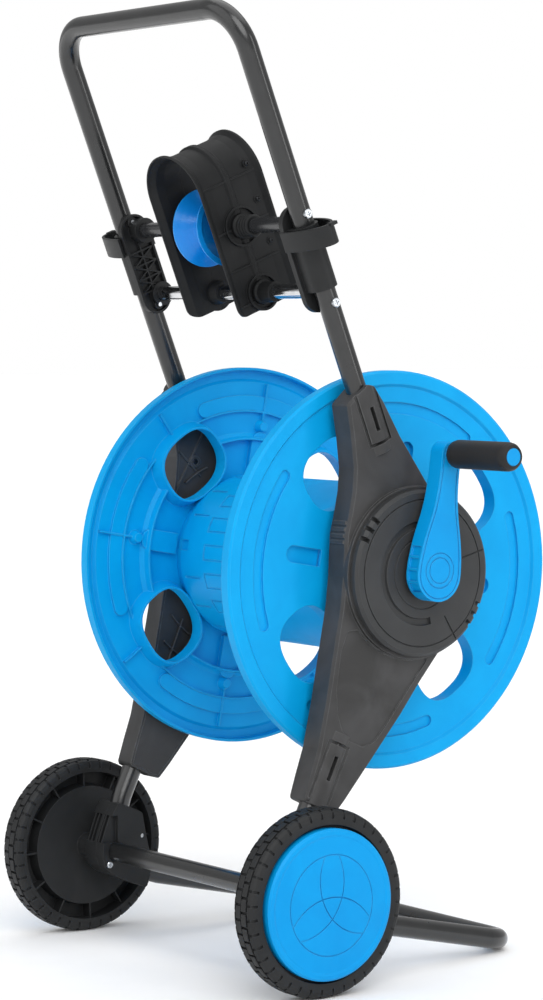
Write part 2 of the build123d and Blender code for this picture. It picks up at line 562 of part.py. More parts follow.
left_shaft = turned([(CORE_END - 22, SHAFT_BORE), (HUB_FACE - 1, SHAFT_BORE),
                     (HUB_FACE - 1, SHAFT_R), (WEB_OUT + 1.0, SHAFT_R),
                     (WEB_OUT + 1.0, SHAFT_R + 14), (WEB_OUT + 0.1, SHAFT_R + 14),
                     (WEB_OUT + 0.1, SHAFT_R + 7.9), (CORE_END - 22, SHAFT_R + 7.9)])
save(REEL * mirrored(left_shaft), "reel_shaft_left")

# inlet spigot fixed in the left hub, its stem sealed in the turning shaft
inlet = turned([(142, 3.5), (CAP_FACE - 24, 3.5), (CAP_FACE - 24, 7.0), (CAP_FACE - 27, 7.6),
                (CAP_FACE - 29, 6.6), (CAP_FACE - 33, 6.6), (CAP_FACE - 35, 8.5),
                (HUB_FACE + 4, 8.5), (HUB_FACE + 4, 21.0), (HUB_FACE + 0.3, 21.0),
                (HUB_FACE + 0.3, SHAFT_BORE - RUN_FIT), (160, SHAFT_BORE - RUN_FIT),
                (160, 5.8), (156.6, 5.8), (156.6, SHAFT_BORE - RUN_FIT),
                (142, SHAFT_BORE - RUN_FIT)])
inlet_nut = ring(24.0, 21.2, HUB_FACE + 0.2, HUB_FACE + 4.0)
lock = turned([(HUB_FACE + 4.1, 9.2), (HUB_FACE + 6.0, 9.2), (HUB_FACE + 6.0, 27.0),
               (HUB_FACE + 0.1, 27.0), (HUB_FACE + 0.1, 21.3), (HUB_FACE + 4.1, 21.3)])
for side in (1, -1):
    lock = lock + (rod(5.0, HUB_FACE + 0.1, HUB_FACE + 3, side * 60, 0)
                   + block(HUB_FACE + 0.1, HUB_FACE + 3, min(side * 26, side * 60),
                           max(side * 26, side * 60), -5, 5))
    lock = lock - rod(1.6, HUB_FACE - 1, HUB_FACE + 9, side * 60, 0)
save(AT_REEL * mirrored(inlet), "water_inlet")
save(AT_REEL * mirrored(lock), "inlet_lock")
seal = AT_REEL * (Pos(-158.3, 0, 0) * Rot(0, 90, 0) * Torus(6.9, 1.05))
save(seal, "inlet_seal")
cover_screws = [screw(-HUB_FACE - 5.1, -HUB_BASE - 0.6, 3.0, 1.5, side * 60, 0, 2.0)
                for side in (1, -1)]
save(AT_REEL * Compound(cover_screws), "hub_screws")

# water outlet elbow from the left shaft to a spigot in the core
elbow = ring(7.9, 3.5, -CORE_END + 2, -34) + Pos(-40, 0, 38) * Cylinder(8.0, 76)
elbow = elbow + Pos(-40, 0, 79) * Cylinder(10.0, 8) + Pos(-40, 0, 90) * Cylinder(6.6, 18)
elbow = elbow - rod(3.5, -CORE_END - 1, -39) - Pos(-40, 0, 55) * Cylinder(3.5, 110)
elbow = elbow + rod(7.9, -38, -30)
save(REEL * Rot(OUTLET_TURN, 0, 0) * elbow, "water_outlet")

# ---------------------------------------------------------------- crank
reach = math.hypot(CRANK_DY, CRANK_DZ)
widths = [(0.0, CRANK_BIG_R), (0.12, 24.6), (0.22, 22.9), (0.34, 20.0), (0.46, 16.4),
          (0.58, 13.6), (0.72, 11.8), (0.86, CRANK_TIP_R), (1.0, CRANK_TIP_R)]


def arm_face(shrink):
    """Teardrop outline of the arm, narrow end up, drawn round the reel axis."""
    right_side = [(w - shrink, t * reach) for t, w in widths]
    left_side = [(-w, v) for w, v in reversed(right_side)]
    base = ThreePointArc(left_side[-1], (0, shrink - CRANK_BIG_R), right_side[0])
    up = Spline(*right_side, tangents=[(0, 1), (0, 1)])
    over = ThreePointArc(right_side[-1], (0, reach + CRANK_TIP_R - shrink), left_side[0])
    down = Spline(*left_side, tangents=[(0, -1), (0, -1)])
    return make_face([base, up, over, down])


ARM = Pos(0, REEL_Y, REEL_Z) * Rot(-math.degrees(angle), 0, 0)
crank_arm = slab(arm_face(0.0), CRANK_IN, CRANK_OUT)
crank_arm = crank_arm - slab(arm_face(2.6), CRANK_IN - 1, CRANK_OUT - 3)
crank_arm = crank_arm + (rod(11.5, CRANK_IN, CRANK_OUT - 2.5)
                         - block(CRANK_IN - 1, CRANK_IN + 9.4, -7.1, 7.1, -7.1, 7.1))
crank_arm = crank_arm - rod(2.1, CRANK_IN - 1, CRANK_OUT - 4.9)
crank_arm = crank_arm + rod(9.0, CRANK_IN + 3, CRANK_OUT - 2.5, 0, reach)
crank_arm = crank_arm - rod(PIN_D / 2 - RUN_FIT, CRANK_IN + 2, CRANK_OUT + 1, 0, reach)
skin = slab(arm_face(-1.0) - arm_face(1.8), CRANK_IN + 2.5, CRANK_OUT - 2.5)
for low, high in ((15.6, 24.8), (3.8, 13.4), (-8.2, 1.6), (-18.0, -10.4)):
    crank_arm = crank_arm - (skin & block(CRANK_IN, CRANK_OUT, -40, -6, low, high))
rim_line = slab(arm_face(2.2) - arm_face(3.4), CRANK_OUT - 1.0, CRANK_OUT + 1)
crank_arm = crank_arm - rim_line
for r in (17.0, 12.5):
    crank_arm = crank_arm - ring(r, r - 1.0, CRANK_OUT - 0.8, CRANK_OUT + 1, 0, 4)
save(ARM * crank_arm, "crank_arm")
crank_screw = screw(CRANK_OUT - 5.2, CRANK_IN - 14, 1.95, 1.9, 0, 0, 2.0)
save(ARM * crank_screw, "crank_screw")
pin = turned([(CRANK_IN + 2.5, 0), (GRIP_OUT - 12, 0), (GRIP_OUT - 12, 6.0), (GRIP_OUT - 14, 6.0),
              (GRIP_OUT - 14, PIN_D / 2), (GRIP_IN - 1, PIN_D / 2), (GRIP_IN - 1, 7.0),
              (GRIP_IN - 3.9, 7.0), (GRIP_IN - 3.9, PIN_D / 2 - RUN_FIT - 0.05),
              (CRANK_IN + 2.5, PIN_D / 2 - RUN_FIT - 0.05)])
save(ARM * (Pos(0, 0, reach) * pin), "crank_pin")
GRIP_R = GRIP_D / 2
grip = turned([(GRIP_IN, PIN_D / 2 + RUN_FIT), (GRIP_OUT - 15, PIN_D / 2 + RUN_FIT),
               (GRIP_OUT - 15, 6.6), (GRIP_OUT - 4, 6.6), (GRIP_OUT - 4, 8.4),
               (GRIP_OUT - 0.4, 8.4), (GRIP_OUT - 0.4, GRIP_R - 5.0),
               (GRIP_OUT - 1.6, GRIP_R - 2.4), (GRIP_OUT - 4.6, GRIP_R - 0.6),
               (GRIP_OUT - 8.0, GRIP_R), (GRIP_IN + 7.0, GRIP_R), (GRIP_IN + 3.4, GRIP_R - 0.9),
               (GRIP_IN + 1.0, GRIP_R - 3.2), (GRIP_IN, GRIP_R - 6.0)])
save(ARM * (Pos(0, 0, reach) * grip), "crank_grip")
cap = turned([(GRIP_OUT - 9, 0), (GRIP_OUT, 0), (GRIP_OUT, 7.4), (GRIP_OUT - 0.8, 8.3),
              (GRIP_OUT - 3.9, 8.3), (GRIP_OUT - 3.9, 6.5), (GRIP_OUT - 9, 6.5)])
save(ARM * (Pos(0, 0, reach) * cap), "grip_cap")

# ---------------------------------------------------------------- handle brackets
plate_mid = (PLATE_LOW + PLATE_HIGH) / 2
plate_long = PLATE_HIGH - PLATE_LOW
outline = Pos(0, plate_mid) * SlotOverall(plate_long, 2 * PLATE_HALF, rotation=90)
inner_line = offset(outline, amount=-2.4)
bracket = slab(outline, PLATE_IN, PLATE_OUT) - slab(inner_line, PLATE_IN - 1, PLATE_OUT - 2.4)
for s in (54, 68, 82, 96):
    bracket = bracket + block(PLATE_IN + 0.6, PLATE_OUT - 2, -PLATE_HALF + 1.5, PLATE_HALF - 1.5,
                              s - 0.8, s + 0.8)
for s in (61, 75, 89):
    for way in (1, -1):
        diagonal = Pos((PLATE_IN + PLATE_OUT) / 2 - 0.7, 0, s) * Rot(27 * way, 0, 0)
        bracket = bracket + diagonal * Box(3.4, 30, 1.4)
bracket = bracket + block(PLATE_IN + 0.6, PLATE_OUT - 2, -0.8, 0.8, ROD_LOW, ROD_HIGH)
bracket = bracket + rod(12.5, PLATE_IN - 8, PLATE_OUT - 1, ROD_N, ROD_HIGH)
bracket = bracket + rod(12.0, PLATE_IN - 2, PLATE_OUT - 1, ROD_N, ROD_LOW)
for s in (SCREW_HIGH, SCREW_LOW):
    bracket = bracket + rod(5.0, PLATE_IN + 0.6, PLATE_OUT - 1, 0, s)
grasp = Pos(LEG_X, 0, (SLEEVE_LOW + LOOP_HIGH) / 2) * Cylinder(SLEEVE_R, LOOP_HIGH - SLEEVE_LOW)
bracket = bracket + grasp + block(PLATE_OUT - 1, LEG_X, -SLEEVE_R, SLEEVE_R, SLEEVE_LOW, LOOP_HIGH)
span = LOOP_OUT - PLATE_OUT + 2
loop_out = Pos(PLATE_OUT - 2, 0) * Ellipse(span, 20.5)
loop_in = Pos(PLATE_OUT - 2, 0) * Ellipse(span - 3.0, 17.7)
half_room = Pos(PLATE_OUT - 2 + span / 2 + 1, 0) * Rectangle(span + 2, 60)
band = (loop_out - loop_in) & half_room
band = extrude(Plane.XY.offset(LOOP_LOW) * band, amount=LOOP_HIGH - LOOP_LOW)
tip = block(LOOP_OUT - 4, LOOP_OUT + 1.5, 1, 9, LOOP_HIGH - 2.5, LOOP_HIGH + 0.6)
bracket = bracket + band + tip
bracket = bracket - Pos(LEG_X, 0, 80) * Cylinder(TUBE_R + FIT, 200)
bracket = bracket - rod(ROD_HIGH_D / 2 + FIT, PLATE_IN - 10, ROD_END + FIT, ROD_N, ROD_HIGH)
bracket = bracket - rod(ROD_LOW_D / 2 + FIT, PLATE_IN - 10, ROD_END + FIT, ROD_N, ROD_LOW)
for s in (SCREW_HIGH, SCREW_LOW):
    bracket = bracket - rod(2.2, PLATE_IN - 10, LEG_X, 0, s)
bracket_right = HANDLE * bracket
save(bracket_right, "handle_bracket_right")
save(mirrored(bracket_right), "handle_bracket_left")
bracket_screws = []
for side in (1, -1):
    for s in (SCREW_HIGH, SCREW_LOW):
        head = side * (LEG_X + TUBE_R + 3.05)
        bracket_screws.append(screw(head, side * (PLATE_IN - 1.5), 4.4, 2.1, 0, s, 3.0))
save(HANDLE * Compound(bracket_screws), "bracket_screws")

# ---------------------------------------------------------------- guide rods
rod_high = HANDLE * rod(ROD_HIGH_D / 2, -ROD_END, ROD_END, ROD_N, ROD_HIGH)
save(rod_high, "guide_rod_upper")
rod_low = HANDLE * rod(ROD_LOW_D / 2, -ROD_END, ROD_END, ROD_N, ROD_LOW)
save(rod_low, "guide_rod_lower")

# ---------------------------------------------------------------- hose guide
SPRING = GUIDE_TOP - GUIDE_W


def arch(grow, low):
    """Tall arch outline in the plane across the hose, grown outwards all round."""
    half = GUIDE_W + grow
    body = Pos(0, (low + SPRING) / 2) * Rectangle(2 * half, SPRING - low)
    return body + Pos(0, SPRING) * Circle(half)


def arch_solid(stations, low):
    """Arch lofted through (depth, growth) stations, standing up in the handle frame."""
    parts = []
    for (n0, g0), (n1, g1) in zip(stations, stations[1:]):
        first = Plane.XZ.offset(-n0) * arch(g0, low)
        last = Plane.XZ.offset(-n1) * arch(g1, low)
        parts.append(loft([first, last], ruled=True))
    return joined(parts[0], parts[1:])


N0 = GUIDE_N - GUIDE_HALF
N1 = GUIDE_N + GUIDE_HALF
stations = [(N0, GUIDE_FLARE), (N0 + 2.2, GUIDE_FLARE), (N0 + 7, 1.3), (N0 + 16, 0.0),
            (N1 - 16, 0.0), (N1 - 7, 1.3), (N1 - 2.2, GUIDE_FLARE), (N1, GUIDE_FLARE)]
inner_stations = [(N0 - 1, GUIDE_FLARE - 1.0), (N0 + 2.2, GUIDE_FLARE - 2.4),
                  (N0 + 7, 1.3 - GUIDE_T), (N0 + 16, -GUIDE_T), (N1 - 16, -GUIDE_T),
                  (N1 - 7, 1.3 - GUIDE_T), (N1 - 2.2, GUIDE_FLARE - 2.4),
                  (N1 + 1, GUIDE_FLARE - 1.0)]
arch_shell = arch_solid(stations, GUIDE_LOW)
band_low, band_high = ROD_N - 5.0, ROD_N + 5.0
ridge = [(band_low, -0.5), (band_low + 2.5, 2.4), (band_high - 2.5, 2.4), (band_high, -0.5)]
arch_shell = arch_shell + arch_solid(ridge, GUIDE_LOW + 4)
for s in (160.0, 114.5, 77.0, 42.0):
    strip = block(-GUIDE_W - 1.8, GUIDE_W + 1.8, N0 + 4, N1 - 4, s - 0.8, s + 0.8)
    arch_shell = arch_shell + strip
for s, n_out in ((ROD_HIGH, 19.5), (ROD_LOW, 18.0)):
    arch_shell = arch_shell + ring(n_out, n_out - 2.2, -GUIDE_W - 3.2, GUIDE_W + 3.2, ROD_N, s)
guide_bolts = [(34.0, 168.0), (34.0, 132.0), (34.0, 90.0)]
for n, s in guide_bolts:
    arch_shell = arch_shell + rod(3.8, 32, GUIDE_W + 1.2, n, s)
arch_shell = arch_shell - arch_solid(inner_stations, GUIDE_LOW - 10)
for s in (ROD_HIGH, ROD_LOW):
    arch_shell = arch_shell - rod(10.0 + FIT, -GUIDE_W - 10, GUIDE_W + 10, ROD_N, s)
    for side in (1, -1):
        arch_shell = arch_shell - rod(12.5, side * GUIDE_W, side * (GUIDE_W + 10), ROD_N, s)
corner = block(-60, 60, N0 - 5, N0 + 12, GUIDE_LOW - 5, GUIDE_LOW + 12)
corner = corner - rod(12, -70, 70, N0 + 12, GUIDE_LOW + 12)
corner2 = block(-60, 60, N1 - 12, N1 + 5, GUIDE_LOW - 5, GUIDE_LOW + 12)
corner2 = corner2 - rod(12, -70, 70, N1 - 12, GUIDE_LOW + 12)
arch_shell = arch_shell - corner - corner2
for n, s in guide_bolts:
    arch_shell = arch_shell - rod(1.6, 20, 60, n, s)
front_half = arch_shell & block(-60, 60, -80, ROD_N - 0.05, 0, 260)
rear_half = arch_shell & block(-60, 60, ROD_N + 0.05, 100, 0, 260)
save(HANDLE * front_half, "guide_shell_front")
save(HANDLE * rear_half, "guide_shell_rear")
guide_screws = [screw(GUIDE_W + 3.05, 29, 2.3, 1.5, n, s, 1.8) for n, s in guide_bolts]
save(HANDLE * Compound(guide_screws), "guide_screws")


def bush(r_rod, x_in, bellows):
    """Sliding bush through the guide wall, with a ribbed collar outside."""
    profile = [(x_in, r_rod), (BUSH_OUT, r_rod)]
    if bellows:
        x = BUSH_OUT
        while x > GUIDE_W + 7:
            profile = profile + [(x, r_rod + 2.0), (x - 1.4, r_rod + 3.4), (x - 2.8, r_rod + 3.4)]
            x = x - 4.2
        profile = profile + [(x, r_rod + 2.0)]
    else:
        profile = profile + [(BUSH_OUT, r_rod + 2.6), (GUIDE_W + 6, r_rod + 3.2)]
    profile = profile + [(GUIDE_W + 4.0, 12.0), (GUIDE_W + 0.1, 12.0), (GUIDE_W + 0.1, 10.0),
                         (GUIDE_W - GUIDE_T - 0.1, 10.0), (GUIDE_W - GUIDE_T - 0.1, 12.0),
                         (GUIDE_W - GUIDE_T - 2.5, 12.0), (x_in, r_rod + 2.6)]
    return turned(profile)


high_bush = bush(ROD_HIGH_D / 2 + RUN_FIT, ROLLER_HALF + 0.5, True)
low_bush = bush(ROD_LOW_D / 2 + RUN_FIT, GUIDE_W - 14, False)
for name, shape, s in (("bush_upper", high_bush, ROD_HIGH), ("bush_lower", low_bush, ROD_LOW)):
    save(HANDLE * (Pos(0, ROD_N, s) * shape), name + "_right")
    save(HANDLE * (Pos(0, ROD_N, s) * mirrored(shape)), name + "_left")

waist = []
for i in range(13):
    x = -ROLLER_HALF + 1.2 + (2 * ROLLER_HALF - 2.4) * i / 12
    u = abs(x) / (ROLLER_HALF - 1.2)
    waist.append((x, ROLLER_WAIST_R + (ROLLER_RIM_R - ROLLER_WAIST_R) * u ** 1.7))
bore = ROD_HIGH_D / 2 + RUN_FIT
roller = turned([(-ROLLER_HALF, bore), (-ROLLER_HALF, ROLLER_RIM_R)] + waist
                + [(ROLLER_HALF, ROLLER_RIM_R), (ROLLER_HALF, bore)])
for end in (1, -1):
    roller = roller - turned([(end * (ROLLER_HALF + 1), 12.0), (end * (ROLLER_HALF + 1), 33.0),
                              (end * (ROLLER_HALF - 3), 31.0), (end * (ROLLER_HALF - 9), 15.0),
                              (end * (ROLLER_HALF - 9), 12.0)])
save(HANDLE * (Pos(0, ROD_N, ROD_HIGH) * roller), "guide_roller")

# ---------------------------------------------------------------- wheels
wheel = turned([(WHEEL_IN, WHEEL_RIM_R), (WHEEL_IN, WHEEL_R - 7), (WHEEL_IN + 0.8, WHEEL_R - 4),
                (WHEEL_IN + 2.4, WHEEL_R - 1.7), (WHEEL_IN + 5, WHEEL_R - 0.3),
                (WHEEL_IN + 7.5, WHEEL_R), (WHEEL_OUT - 7.5, WHEEL_R),
                (WHEEL_OUT - 5, WHEEL_R - 0.3), (WHEEL_OUT - 2.4, WHEEL_R - 1.7),
                (WHEEL_OUT - 0.8, WHEEL_R - 4), (WHEEL_OUT, WHEEL_R - 7),
                (WHEEL_OUT, WHEEL_RIM_R - 2),
                (WHEEL_OUT - 7, WHEEL_RIM_R - 3), (WHEEL_OUT - 7, 59), (WHEEL_IN + 7, 57),
                (WHEEL_IN + 7, WHEEL_HUB_R), (WHEEL_OUT - 6.5, WHEEL_HUB_R),
                (WHEEL_OUT - 6.5, AXLE_R + RUN_FIT), (CLAMP_OUT + 4.5, AXLE_R + RUN_FIT),
                (CLAMP_OUT + 4.5, WHEEL_HUB_R - 2), (WHEEL_IN + 4, WHEEL_HUB_R),
                (WHEEL_IN + 4, 60), (WHEEL_OUT - 10, 62), (WHEEL_OUT - 10, WHEEL_RIM_R)])
for i in range(12):
    web = block(WHEEL_IN + 5.5, WHEEL_OUT - 8.5, 59.2, WHEEL_RIM_R + 3, -0.8, 0.8)
    wheel = wheel + Rot(30.0 * i + 3, 0, 0) * web
WHEEL_MID = (WHEEL_IN + WHEEL_OUT) / 2
FLOOR_R = WHEEL_R - TREAD_DEPTH
row_edges = [WHEEL_IN - 2, WHEEL_IN + SHOULDER, WHEEL_MID, WHEEL_OUT - SHOULDER, WHEEL_OUT + 2]
cuts = []
for x, half in ((row_edges[1], 1.0), (row_edges[2], 0.6), (row_edges[3], 1.0)):
    cuts.append(ring(WHEEL_R + 2, FLOOR_R, x - half, x + half))
for i in range(4):
    lead = 0.0 if i in (0, 2) else 180.0 / TREAD_COUNT
    gap = block(row_edges[i], row_edges[i + 1], FLOOR_R, WHEEL_R + 3, -1.3, 1.3)
    if i == 0:
        gap = gap + block(WHEEL_IN - 2, WHEEL_IN + 1.8, WHEEL_R - 9, WHEEL_R + 3, -1.3, 1.3)
    if i == 3:
        gap = gap + block(WHEEL_OUT - 1.8, WHEEL_OUT + 2, WHEEL_R - 9, WHEEL_R + 3, -1.3, 1.3)
    for k in range(TREAD_COUNT):
        cuts.append(Rot(360.0 * k / TREAD_COUNT + lead, 0, 0) * gap)
wheel = wheel - cuts
save(AXLE * wheel, "wheel_right")
save(AXLE * mirrored(wheel), "wheel_left")

hubcap = turned([(WHEEL_OUT + 0.3, 0), (CAP_FACE, 0), (CAP_FACE - 0.3, 24),
                 (CAP_FACE - 1.1, 46), (CAP_FACE - 2.3, 62.5), (CAP_FACE - 1.6, 64.5),
                 (CAP_FACE - 1.9, WHEEL_CAP_R - 2.0), (CAP_FACE - 3.6, WHEEL_CAP_R),
                 (WHEEL_OUT + 0.3, WHEEL_CAP_R), (WHEEL_OUT - 6.6, WHEEL_CAP_R - 0.2),
                 (WHEEL_OUT - 6.6, WHEEL_CAP_R - 2.6), (WHEEL_OUT + 0.3, WHEEL_CAP_R - 2.8)])
hubcap = hubcap - turned([(CAP_FACE - 1.9, 46.0), (CAP_FACE + 1, 46.0), (CAP_FACE + 1, 47.0),
                          (CAP_FACE - 1.9, 47.0)])
petal_room = rod(45.5, CAP_FACE - 5, CAP_FACE + 2)
for i in range(3):
    a = math.radians(120 * i + 30)
    line = ring(52.0, 51.0, CAP_FACE - 1.5, CAP_FACE + 1, 44 * math.cos(a), 44 * math.sin(a))
    hubcap = hubcap - (line & petal_room)
save(AXLE * hubcap, "hubcap_right")
save(AXLE * mirrored(hubcap), "hubcap_left")
push_nuts = []
for side in (1, -1):
    x0 = side * (WHEEL_OUT - 6.2)
    x1 = side * (WHEEL_OUT - 3.2)
    push_nuts.append(AXLE * ring(11.0, AXLE_R, x0, x1))
save(Compound(push_nuts), "axle_nuts")
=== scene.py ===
# %% [markdown]
# # Finishing a garden hose reel cart
# The cart is an assembly of moulded plastic, painted steel tube and plated steel rod. Its
# working shapes come ready made, in metres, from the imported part. This lesson gives each of
# them a finish that behaves like the real material, adds the fine moulded detail that only
# the eye needs, and sets up a plain studio round it.

# %% Load the cart
import json
import math

import bpy
import numpy as np
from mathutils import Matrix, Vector


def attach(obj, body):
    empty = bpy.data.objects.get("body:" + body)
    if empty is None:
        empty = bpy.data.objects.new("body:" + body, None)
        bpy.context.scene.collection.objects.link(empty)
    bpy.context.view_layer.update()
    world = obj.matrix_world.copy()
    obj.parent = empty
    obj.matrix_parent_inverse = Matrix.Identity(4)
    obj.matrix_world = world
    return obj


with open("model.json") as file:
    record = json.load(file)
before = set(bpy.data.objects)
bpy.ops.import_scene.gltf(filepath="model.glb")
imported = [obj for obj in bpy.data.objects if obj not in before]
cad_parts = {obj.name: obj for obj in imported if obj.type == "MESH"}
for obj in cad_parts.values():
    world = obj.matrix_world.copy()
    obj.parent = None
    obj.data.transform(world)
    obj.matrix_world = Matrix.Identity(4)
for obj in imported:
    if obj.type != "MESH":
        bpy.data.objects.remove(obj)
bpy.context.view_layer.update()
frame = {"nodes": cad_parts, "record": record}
nodes = frame["nodes"]

# %% [markdown]
# ## Colours and nodes
# Paint charts and screens give colours as sRGB hex, while a shader works with linear light,
# so one function converts them. A second function adds any shader node together with its
# settings, its fixed inputs and its wires, which keeps every material below short to read.


# %% Helpers for colours and nodes
def linear(hex_colour):
    """sRGB hex to linear RGBA: below 0.04045 a straight line, above it a power of 2.4."""
    wanted = []
    for i in (1, 3, 5):
        level = int(hex_colour[i:i + 2], 16) / 255
        if level <= 0.04045:
            wanted.append(level / 12.92)
        else:
            wanted.append(((level + 0.055) / 1.055) ** 2.4)
    return (*wanted, 1.0)


def add(tree, kind, fixed=None, wired=None, **settings):
    """Adds one node: settings are its properties, fixed its set inputs, wired its links."""
    made = tree.nodes.new(kind)
    for name, value in settings.items():
        setattr(made, name, value)
    for name, value in (fixed or {}).items():
        made.inputs[name].default_value = value
    for name, source in (wired or {}).items():
        tree.links.new(source, made.inputs[name])
    return made


def ramp(tree, source, stops):
    """A colour ramp node with the given (place, hex colour) stops."""
    made = add(tree, "ShaderNodeValToRGB", wired={"Fac": source})
    marks = made.color_ramp.elements
    while len(marks) < len(stops):
        marks.new(0.5)
    for mark, (place, hex_colour) in zip(marks, stops):
        mark.position = place
        mark.color = linear(hex_colour)
    return made.outputs["Color"]


def spread(tree, source, low, high):
    """Moves a 0 to 1 pattern to the range low to high."""
    made = add(tree, "ShaderNodeMapRange", {"To Min": low, "To Max": high}, {"Value": source})
    return made.outputs["Result"]


def per_metre(size_mm):
    """Noise scale whose features are about size_mm across."""
    return 1000.0 / size_mm


def new_material(name):
    """An empty material with a Principled shader and Object coordinates."""
    made = bpy.data.materials.new(name)
    made.use_nodes = True
    tree = made.node_tree
    tree.nodes.clear()
    shader = add(tree, "ShaderNodeBsdfPrincipled")
    add(tree, "ShaderNodeOutputMaterial", wired={"Surface": shader.outputs["BSDF"]})
    place = add(tree, "ShaderNodeTexCoord").outputs["Object"]
    return made, tree, shader, place


print("white in linear light:", linear("#FFFFFF"))

# %% [markdown]
# ## Moulded plastic
# The panels, reel, wheels and brackets are injection moulded, most likely polypropylene: an
# opaque, slightly waxy plastic. A mould leaves three things to see. Its spark-eroded surface
# prints a fine grain, the melt flows in and freezes with faint cloudy streaks, and every edge
# comes out with a small radius that catches a thin line of light. Modelling those radii on
# every rib would multiply the mesh, so the shader rounds them: a Bevel node bends the normals
# near edges. How far they bend also paints those edges a paler colour, which is partly wear
# from rubbing and partly a painted highlight standing in for that thin line of light.


# %% A recipe for moulded plastic
def moulded(name, colour, cloud, rubbed_and_highlit, gloss=(0.38, 0.52), grain_mm=0.9, grain=0.25,
            edge_mm=0.8, rub_and_highlight=0.5, specular=0.5):
    """Moulded plastic: flow clouds, edges painted paler for wear and highlight, grain, soft
    gloss.
    """
    made, tree, shader, place = new_material(name)
    clouds = add(tree, "ShaderNodeTexNoise",
                 {"Scale": per_metre(55), "Detail": 3.0, "Roughness": 0.55, "Distortion": 0.6},
                 {"Vector": place})
    streaks = ramp(tree, clouds.outputs["Fac"], [(0.36, colour), (0.72, cloud)])
    soft = add(tree, "ShaderNodeBevel", {"Radius": edge_mm / 1000}, samples=4)
    flat = add(tree, "ShaderNodeNewGeometry")
    turn = add(tree, "ShaderNodeVectorMath", operation="DOT_PRODUCT",
               wired={0: soft.outputs["Normal"], 1: flat.outputs["Normal"]})
    edge = add(tree, "ShaderNodeMapRange", {"From Min": 0.995, "From Max": 0.80,
                                            "To Min": 0.0, "To Max": rub_and_highlight},
               {"Value": turn.outputs["Value"]})
    edge_breakup = add(tree, "ShaderNodeTexNoise", {"Scale": per_metre(9), "Detail": 4.0},
                 {"Vector": place})
    worn_and_highlit = add(tree, "ShaderNodeMath", operation="MULTIPLY",
               wired={0: edge.outputs["Result"], 1: edge_breakup.outputs["Fac"]})
    # Painted highlight: edges are mixed towards a paler colour, partly wear and partly painted
    # edge light.
    mix = add(tree, "ShaderNodeMix", {"B": linear(rubbed_and_highlit)}, data_type="RGBA",
              wired={"Factor": worn_and_highlit.outputs["Value"], "A": streaks})
    tree.links.new(mix.outputs["Result"], shader.inputs["Base Color"])
    sheen_map = add(tree, "ShaderNodeTexNoise", {"Scale": per_metre(23), "Detail": 5.0},
                    {"Vector": place})
    tree.links.new(spread(tree, sheen_map.outputs["Fac"], *gloss), shader.inputs["Roughness"])
    pits = add(tree, "ShaderNodeTexNoise", {"Scale": per_metre(grain_mm), "Detail": 2.0},
               {"Vector": place})
    bump = add(tree, "ShaderNodeBump", {"Strength": grain, "Distance": 0.0002},
               {"Height": pits.outputs["Fac"], "Normal": soft.outputs["Normal"]})
    tree.links.new(bump.outputs["Normal"], shader.inputs["Normal"])
    shader.inputs["IOR"].default_value = 1.49
    shader.inputs["Specular IOR Level"].default_value = specular
    return made


finishes = {}
SHEEN = 0.28
# The third colour of each plastic is its pale edge colour: partly wear, partly a painted edge
# highlight.
finishes["panel_black"] = moulded("satin_black_polypropylene_panel", "#323232", "#434344",
                                  "#838485", gloss=(0.42, 0.58), grain_mm=1.1, edge_mm=1.4,
                                  rub_and_highlight=0.8, specular=SHEEN)
finishes["hub_black"] = moulded("satin_black_polypropylene_hub", "#333435", "#393A3B",
                                "#626365", gloss=(0.44, 0.60), grain_mm=1.0, edge_mm=0.9,
                                rub_and_highlight=0.8, specular=SHEEN)
finishes["frame_black"] = moulded("satin_black_polypropylene_axle_bracket", "#1D1E1F",
                                  "#252627", "#4A4B4D", gloss=(0.42, 0.56), edge_mm=0.8,
                                  specular=SHEEN)
finishes["bracket_black"] = moulded("satin_black_polypropylene_handle_bracket", "#1C1D1E",
                                    "#232425", "#48494B", gloss=(0.38, 0.52), edge_mm=0.8,
                                    specular=SHEEN)
finishes["guide_black"] = moulded("satin_black_polypropylene_hose_guide", "#18191A",
                                  "#202122", "#4C4D50", gloss=(0.42, 0.58), grain_mm=1.0,
                                  edge_mm=1.0, specular=0.2)
finishes["shaft_black"] = moulded("satin_black_acetal_shaft", "#1B1C1D", "#222324",
                                  "#3F4042", gloss=(0.30, 0.42), grain=0.12, specular=SHEEN)
finishes["fitting_black"] = moulded("satin_black_acetal_fitting", "#1A1B1C", "#212223",
                                    "#3F4042", gloss=(0.28, 0.40), grain=0.12, specular=SHEEN)
finishes["wheel_black"] = moulded("dull_black_polypropylene_wheel", "#1C1D1E", "#252627",
                                  "#505154", gloss=(0.48, 0.64), grain_mm=1.3, grain=0.35,
                                  edge_mm=0.8, rub_and_highlight=0.8, specular=SHEEN)
finishes["grip_black"] = moulded("soft_black_moulded_grip", "#1E1D1D", "#252424", "#3E3D3D",
                                 gloss=(0.44, 0.58), grain_mm=0.8, grain=0.4, edge_mm=0.6,
                                 specular=SHEEN)
